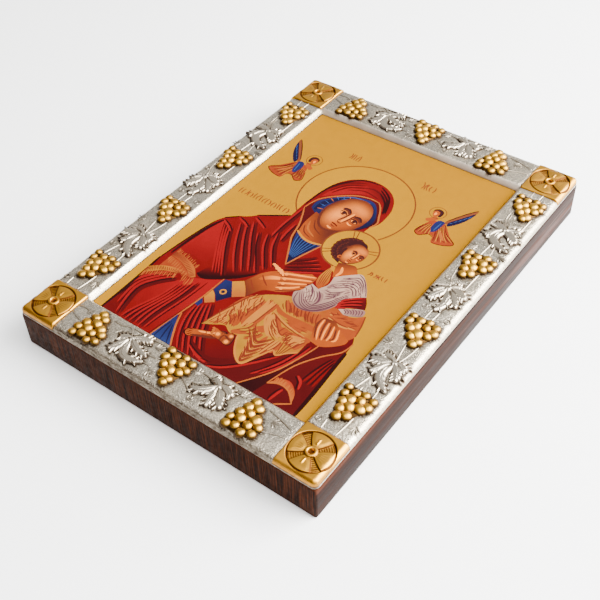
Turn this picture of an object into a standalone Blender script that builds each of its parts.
# Icon panel: a printed picture on a wooden board, inside an embossed metal border with corner squares,
# bunches of grapes, vine leaves and stems. Metres, +Z up. The panel lies on its back with its face up,
# the foot of the picture towards -Y, and its origin is the middle of the board's underside.
import math

import bmesh
import bpy
from mathutils import Matrix, Vector

# Board
PANEL_WIDTH = 0.160
PANEL_HEIGHT = 0.220
BOARD_THICKNESS = 0.0187
BOARD_EDGE_ROUND = 0.0012
BOARD_ROUND_STEPS = 2

# Clearance between pieces that touch
FIT_GAP = 0.0003

# Picture sheet
PICTURE_THICKNESS = 0.0004

# Moulding of the border: width from the panel's edge to the picture, height, shoulder and inner slope
BORDER_SIDE = 0.0216
BORDER_END = 0.0229
BORDER_RISE = 0.0034
BORDER_EDGE_HEIGHT = 0.0010
SHOULDER_STEPS = 3
SLOPE_RUN = 0.0016
LIP_HEIGHT = 0.0006

# Corner squares, with a round groove, four recessed arms and a pierced boss
SQUARE_MARGIN_SIDE = 0.0012
SQUARE_MARGIN_END = 0.0004
SQUARE_RISE = 0.0005
SQUARE_ROUND = 0.0009
SQUARE_ROUND_STEPS = 1
SQUARE_SET_IN = 0.0001
SQUARE_FOOT = 0.0004
GROOVE_MARGIN = 0.0007
GROOVE_WIDTH = 0.0007
GROOVE_DEPTH = 0.0005
GROOVE_SIDES = 16
ARM_DEPTH = 0.0005
ARM_INNER_WIDTH = 0.0014
ARM_OUTER_WIDTH = 0.0052
ARM_FLARE = 1.7
ARM_START = 0.00015
ARM_STEPS = 2
BOSS_RADIUS = 0.00265
BOSS_RISE = 0.0006
BOSS_HOLE_RADIUS = 0.00135
BOSS_HOLE_DEPTH = 0.0012
BOSS_SIDES = 8

# Bunches of grapes: how many on each length, how far the first and last stand from the corner squares
SIDE_BUNCHES = 4
END_BUNCHES = 3
SIDE_INSET = 0.0149
END_INSET = 0.0176
END_SHIFT = -0.0016
BERRY_ROWS = (4, 4, 3, 2, 1)
BERRY_PITCH = 0.0042
BERRY_ROW_PITCH = 0.0037
BERRY_EDGE_RADIUS = 0.0020
BERRY_MIDDLE_RADIUS = 0.0027
BERRY_ZIGZAG = 0.0007
BERRY_SINK = 0.0002
BUNCH_LEAN = 0.0028
BUNCH_TURN = math.radians(29)

# Vine leaves: five pointed lobes that spread from the top of the leaf
LOBE_ANGLES = (-112, -56, 8, 58, 112)
LOBE_LENGTHS = (0.0078, 0.0092, 0.0128, 0.0092, 0.0078)
LOBE_WIDTH = 0.0046
LOBE_RISE = 0.0010
LEAF_TOP = 0.0050
LEAF_SINK = 0.00012

# Stems: two wavy lines that cross behind every leaf
STEM_RADIUS = 0.00045
STEM_SWING = 0.0042
STEM_STEP = 0.0115
STEM_END_IN_BUNCH = 0.0062
STEM_END_IN_SQUARE = 0.0018
STEM_SINK = 0.00007

# Sides of the small rounded forms
BERRY_SIDES = 6
BERRY_RINGS = 4
LOBE_SIDES = 4
LOBE_RINGS = 3

COLOURS = {
    "stained_wood": ((0.120, 0.048, 0.035, 1.0), 0.45, 0.0),
    "silvered_metal": ((0.700, 0.670, 0.610, 1.0), 0.32, 1.0),
    "printed_picture": ((0.560, 0.330, 0.070, 1.0), 0.35, 0.0),
}

# Sizes and heights that follow from the sizes above
METAL_BASE = BOARD_THICKNESS + FIT_GAP
PLATEAU = METAL_BASE + BORDER_RISE
SQUARE_TOP = PLATEAU + SQUARE_RISE
HALF_WIDTH = PANEL_WIDTH / 2
HALF_HEIGHT = PANEL_HEIGHT / 2
OPENING_HALF_WIDTH = HALF_WIDTH - BORDER_SIDE
OPENING_HALF_HEIGHT = HALF_HEIGHT - BORDER_END
SHOULDER_RADIUS = BORDER_RISE - BORDER_EDGE_HEIGHT
SQUARE_SIDE = BORDER_SIDE - SQUARE_MARGIN_SIDE
SQUARE_END = BORDER_END - SQUARE_MARGIN_END
GROOVE_RADIUS = min(SQUARE_SIDE, SQUARE_END) / 2 - GROOVE_MARGIN

# How far a cutter runs past what it cuts, and the distance within which two points are the same
CUT_OVERRUN = 0.002
SNAP = 0.00001


def clear_scene():
    for old in list(bpy.data.objects):
        bpy.data.objects.remove(old, do_unlink=True)


def new_collection(name):
    collection = bpy.data.collections.new(name)
    bpy.context.scene.collection.children.link(collection)
    return collection


def make_material(name):
    colour, roughness, metallic = COLOURS[name]
    material = bpy.data.materials.new(name)
    material.use_nodes = True
    shader = material.node_tree.nodes["Principled BSDF"]
    shader.inputs["Base Color"].default_value = colour
    shader.inputs["Roughness"].default_value = roughness
    shader.inputs["Metallic"].default_value = metallic
    material.diffuse_color = colour
    return material


def add_object(name, bm, collection, material_name=None):
    mesh = bpy.data.meshes.new(name)
    bmesh.ops.recalc_face_normals(bm, faces=bm.faces)
    bm.to_mesh(mesh)
    bm.free()
    made = bpy.data.objects.new(name, mesh)
    collection.objects.link(made)
    if material_name:
        mesh.materials.append(make_material(material_name))
    else:
        made.hide_render = True
        made.display_type = "WIRE"
    return made


def combine(target, tool, operation):
    # Joins or cuts with every closed form in the tool, which may run into each other.
    modifier = target.modifiers.new(tool.name, "BOOLEAN")
    modifier.operation = operation
    modifier.solver = "EXACT"
    modifier.use_self = True
    modifier.object = tool


def add_box(bm, low, high):
    low = Vector(low)
    high = Vector(high)
    size = high - low
    place = Matrix.Translation((low + high) / 2) @ Matrix.Diagonal((*size, 1.0))
    return bmesh.ops.create_cube(bm, size=1.0, matrix=place)["verts"]


def add_cylinder(bm, centre, radius, low, high, sides):
    place = Matrix.Translation((centre[0], centre[1], (low + high) / 2))
    bmesh.ops.create_cone(
        bm, cap_ends=True, segments=sides, radius1=radius, radius2=radius, depth=high - low, matrix=place
    )


def round_edges(bm, edges, radius, steps):
    bmesh.ops.bevel(
        bm, geom=list(edges), offset=radius, segments=steps, profile=0.5, affect="EDGES", clamp_overlap=True
    )


def upright_edge(edge):
    return abs(edge.verts[0].co.z - edge.verts[1].co.z) > SNAP


def edge_at_height(edge, height):
    return all(abs(vert.co.z - height) < SNAP for vert in edge.verts)


def make_board(collection):
    bm = bmesh.new()
    add_box(bm, (-HALF_WIDTH, -HALF_HEIGHT, 0.0), (HALF_WIDTH, HALF_HEIGHT, BOARD_THICKNESS))
    eased = [edge for edge in bm.edges if upright_edge(edge) or edge_at_height(edge, 0.0)]
    round_edges(bm, eased, BOARD_EDGE_ROUND, BOARD_ROUND_STEPS)
    return add_object("wooden_board", bm, collection, "stained_wood")


def make_picture(collection):
    half_width = OPENING_HALF_WIDTH - FIT_GAP
    half_height = OPENING_HALF_HEIGHT - FIT_GAP
    face = METAL_BASE + PICTURE_THICKNESS
    bm = bmesh.new()
    add_box(bm, (-half_width, -half_height, METAL_BASE), (half_width, half_height, face))
    return add_object("icon_picture", bm, collection, "printed_picture")


def make_moulding(collection):
    bm = bmesh.new()
    add_box(bm, (-HALF_WIDTH, -HALF_HEIGHT, METAL_BASE), (HALF_WIDTH, HALF_HEIGHT, PLATEAU))
    rounded = [edge for edge in bm.edges if upright_edge(edge) or edge_at_height(edge, PLATEAU)]
    round_edges(bm, rounded, SHOULDER_RADIUS, SHOULDER_STEPS)
    return add_object("embossed_border", bm, collection, "silvered_metal")


def make_opening(collection):
    # A straight-sided foot at the picture, then a slope that widens up to the plateau and beyond it.
    lip = METAL_BASE + LIP_HEIGHT
    top = PLATEAU + CUT_OVERRUN
    spread = SLOPE_RUN * (top - lip) / (PLATEAU - lip)
    bm = bmesh.new()
    add_box(
        bm,
        (-OPENING_HALF_WIDTH, -OPENING_HALF_HEIGHT, METAL_BASE - CUT_OVERRUN),
        (OPENING_HALF_WIDTH, OPENING_HALF_HEIGHT, lip),
    )
    upper = max(bm.faces, key=lambda face: face.calc_center_median().z)
    raised = bmesh.ops.extrude_face_region(bm, geom=[upper])["geom"]
    bmesh.ops.delete(bm, geom=[upper], context="FACES_ONLY")
    for vert in raised:
        if isinstance(vert, bmesh.types.BMVert):
            vert.co.x += math.copysign(spread, vert.co.x)
            vert.co.y += math.copysign(spread, vert.co.y)
            vert.co.z = top
    return add_object("opening_cut", bm, collection)


def corner_signs():
    return [(side, end) for side in (-1, 1) for end in (-1, 1)]


def square_centre(side, end):
    return Vector((side * (HALF_WIDTH - SQUARE_SIDE / 2), end * (HALF_HEIGHT - SQUARE_END / 2), 0.0))


def make_squares(collection):
    bm = bmesh.new()
    for side, end in corner_signs():
        outer = Vector((side * (HALF_WIDTH - SQUARE_SET_IN), end * (HALF_HEIGHT - SQUARE_SET_IN)))
        inner = Vector((side * (HALF_WIDTH - SQUARE_SIDE), end * (HALF_HEIGHT - SQUARE_END)))
        low = (min(outer.x, inner.x), min(outer.y, inner.y), METAL_BASE + SQUARE_FOOT)
        high = (max(outer.x, inner.x), max(outer.y, inner.y), SQUARE_TOP)
        verts = add_box(bm, low, high)
        edges = {edge for vert in verts for edge in vert.link_edges}
        rounded = [edge for edge in edges if edge_at_height(edge, SQUARE_TOP)]
        rounded += [e for e in edges if upright_edge(e) and (e.verts[0].co.xy - outer).length < SNAP]
        round_edges(bm, rounded, SQUARE_ROUND, SQUARE_ROUND_STEPS)
        boss_foot = SQUARE_TOP - CUT_OVERRUN / 2
        add_cylinder(bm, square_centre(side, end), BOSS_RADIUS, boss_foot, SQUARE_TOP + BOSS_RISE, BOSS_SIDES)
    return add_object("corner_squares", bm, collection)


def add_groove(bm, centre):
    inner = GROOVE_RADIUS - GROOVE_WIDTH / 2
    outer = GROOVE_RADIUS + GROOVE_WIDTH / 2
    low = SQUARE_TOP - GROOVE_DEPTH
    high = SQUARE_TOP + CUT_OVERRUN
    corners = ((inner, low), (outer, low), (outer, high), (inner, high))
    profile = [bm.verts.new(centre + Vector((radius, 0.0, height))) for radius, height in corners]
    loop = [bm.edges.new((profile[k], profile[(k + 1) % 4])) for k in range(4)]
    bmesh.ops.spin(
        bm, geom=profile + loop, cent=centre, axis=(0, 0, 1),
        angle=math.tau, steps=GROOVE_SIDES, use_merge=True,
    )


def add_arm(bm, centre, angle):
    # One recessed arm: narrow at the boss, flaring in a curve to the groove.
    start = BOSS_RADIUS + ARM_START
    end = GROOVE_RADIUS
    edge = []
    for step in range(ARM_STEPS + 1):
        share = step / ARM_STEPS
        half = (ARM_INNER_WIDTH + (ARM_OUTER_WIDTH - ARM_INNER_WIDTH) * share ** ARM_FLARE) / 2
        edge.append((start + (end - start) * share, half))
    outline = edge + [(x, -y) for x, y in reversed(edge)]
    turn = Matrix.Rotation(angle, 4, "Z")
    floor = SQUARE_TOP - ARM_DEPTH
    verts = [bm.verts.new(centre + turn @ Vector((x, y, 0.0)) + Vector((0, 0, floor))) for x, y in outline]
    face = bm.faces.new(verts)
    raised = bmesh.ops.extrude_face_region(bm, geom=[face])["geom"]
    moved = [item for item in raised if isinstance(item, bmesh.types.BMVert)]
    bmesh.ops.translate(bm, verts=moved, vec=(0, 0, ARM_DEPTH + CUT_OVERRUN / 2))


def make_square_carving(collection):
    bm = bmesh.new()
    for side, end in corner_signs():
        centre = square_centre(side, end)
        add_groove(bm, centre)
        for quarter in range(4):
            add_arm(bm, centre, math.radians(45 + 90 * quarter))
        boss_top = SQUARE_TOP + BOSS_RISE
        hole_floor = boss_top - BOSS_HOLE_DEPTH
        add_cylinder(bm, centre, BOSS_HOLE_RADIUS, hole_floor, boss_top + CUT_OVERRUN / 2, BOSS_SIDES)
    return add_object("square_carving", bm, collection)


def add_bunch(bm, centre, lean, tip):
    # Rows of berries narrow to one at the tip, which leans to one side; tip is -1 for down and 1 for up.
    rows = len(BERRY_ROWS)
    top = (rows - 1) / 2 * BERRY_ROW_PITCH
    reach = math.hypot(top, BERRY_PITCH)
    for row, count in enumerate(BERRY_ROWS):
        fall = row / (rows - 1)
        for place in range(count):
            across = (place - (count - 1) / 2) * BERRY_PITCH + lean * BUNCH_LEAN * fall ** 2
            zigzag = BERRY_ZIGZAG * (-1) ** place
            along = top - row * BERRY_ROW_PITCH + zigzag
            middle = max(0.0, 1.0 - math.hypot(across, along) / reach)
            radius = BERRY_EDGE_RADIUS + (BERRY_MIDDLE_RADIUS - BERRY_EDGE_RADIUS) * middle
            spot = centre + Vector((across, -tip * along, PLATEAU - BERRY_SINK))
            turn = Matrix.Rotation(BUNCH_TURN * (place + 2 * row), 4, "Z")
            bmesh.ops.create_uvsphere(
                bm, u_segments=BERRY_SIDES, v_segments=BERRY_RINGS, radius=radius,
                matrix=Matrix.Translation(spot) @ turn,
            )


def add_leaf(bm, centre, side):
    # The lobes start where the veins meet, and the longest points down; side mirrors every second leaf.
    veins = Matrix.Translation(centre + Vector((0.0, LEAF_TOP, PLATEAU - LEAF_SINK)))
    for angle, length in zip(LOBE_ANGLES, LOBE_LENGTHS):
        swing = Matrix.Rotation(math.radians(-90 + side * angle), 4, "Z")
        middle = Matrix.Translation((length / 2, 0, 0))
        shape = Matrix.Diagonal((length / 2, LOBE_WIDTH / 2, LOBE_RISE, 1.0))
        along_x = Matrix.Rotation(math.radians(90), 4, "Y")
        bmesh.ops.create_uvsphere(
            bm, u_segments=LOBE_SIDES, v_segments=LOBE_RINGS, radius=1.0,
            matrix=veins @ swing @ middle @ shape @ along_x,
        )


def add_stem(bm, points):
    curve = bpy.data.curves.new("stem", "CURVE")
    curve.dimensions = "3D"
    curve.bevel_depth = STEM_RADIUS
    curve.bevel_resolution = 0
    curve.use_fill_caps = True
    spline = curve.splines.new("POLY")
    spline.points.add(len(points) - 1)
    for point, place in zip(spline.points, points):
        point.co = (*place, 1.0)
    holder = bpy.data.objects.new("stem", curve)
    bpy.context.scene.collection.objects.link(holder)
    bpy.context.view_layer.update()
    seen = holder.evaluated_get(bpy.context.evaluated_depsgraph_get())
    mesh = bpy.data.meshes.new_from_object(seen)
    stem = bmesh.new()
    stem.from_mesh(mesh)
    bmesh.ops.remove_doubles(stem, verts=stem.verts, dist=SNAP)
    stem.to_mesh(mesh)
    stem.free()
    bm.from_mesh(mesh)
    bpy.data.objects.remove(holder, do_unlink=True)
    bpy.data.meshes.remove(mesh)


def spaced(start, stop, count):
    return [start + (stop - start) * k / (count - 1) for k in range(count)]


def add_stems(bm, place_at, spots, ends):
    # Two stems swing over between two bunches and cross behind the leaf. Behind a bunch they stop.
    pitch = spots[1] - spots[0]
    inward = math.copysign(1.0, pitch)
    starts = [ends[0] - inward * STEM_END_IN_SQUARE] + [spot + inward * STEM_END_IN_BUNCH for spot in spots]
    stops = [spot - inward * STEM_END_IN_BUNCH for spot in spots] + [ends[1] + inward * STEM_END_IN_SQUARE]
    for start, stop in zip(starts, stops):
        count = max(2, round(abs(stop - start) / STEM_STEP)) + 1
        for side in (-1, 1):
            add_stem(bm, [
                place_at(along, side * STEM_SWING * math.cos(math.pi * (along - spots[0]) / pitch))
                for along in spaced(start, stop, count)
            ])


def add_side_length(bm, side):
    # A long side of the border: bunches from the top down, a leaf between each two.
    middle = side * (HALF_WIDTH - SQUARE_SIDE / 2)
    top = HALF_HEIGHT - SQUARE_END
    spots = spaced(top - SIDE_INSET, -top + SIDE_INSET, SIDE_BUNCHES)
    for number, y in enumerate(spots):
        add_bunch(bm, Vector((middle, y, 0.0)), -1 if number % 2 else 1, -1)
    for number, (upper, lower) in enumerate(zip(spots, spots[1:])):
        add_leaf(bm, Vector((middle, (upper + lower) / 2, 0.0)), -1 if number % 2 else 1)
    height = PLATEAU - STEM_SINK
    add_stems(bm, lambda along, swing: Vector((middle + swing, along, height)), spots, (top, -top))


def add_end_length(bm, end):
    # A short side: the bunches stand tip up, tip down and so on, with a leaf between each two.
    middle = end * (HALF_HEIGHT - SQUARE_END / 2)
    left = -HALF_WIDTH + SQUARE_SIDE
    spots = spaced(left + END_INSET + END_SHIFT, -left - END_INSET + END_SHIFT, END_BUNCHES)
    for number, x in enumerate(spots):
        add_bunch(bm, Vector((x, middle, 0.0)), 1 if number % 2 else -1, -1 if number % 2 else 1)
    for number, (near, far) in enumerate(zip(spots, spots[1:])):
        add_leaf(bm, Vector(((near + far) / 2, middle, 0.0)), -1 if number % 2 else 1)
    height = PLATEAU - STEM_SINK
    add_stems(bm, lambda along, swing: Vector((along, middle + swing, height)), spots, (left, -left))


def make_relief(collection):
    bm = bmesh.new()
    for sign in (-1, 1):
        add_side_length(bm, sign)
        add_end_length(bm, sign)
    return add_object("vine_relief", bm, collection)


def main():
    clear_scene()
    parts = new_collection("icon_panel")
    tools = new_collection("icon_panel_tools")
    make_board(parts)
    make_picture(parts)
    border = make_moulding(parts)
    combine(border, make_opening(tools), "DIFFERENCE")
    combine(border, make_squares(tools), "UNION")
    combine(border, make_square_carving(tools), "DIFFERENCE")
    combine(border, make_relief(tools), "UNION")


main()
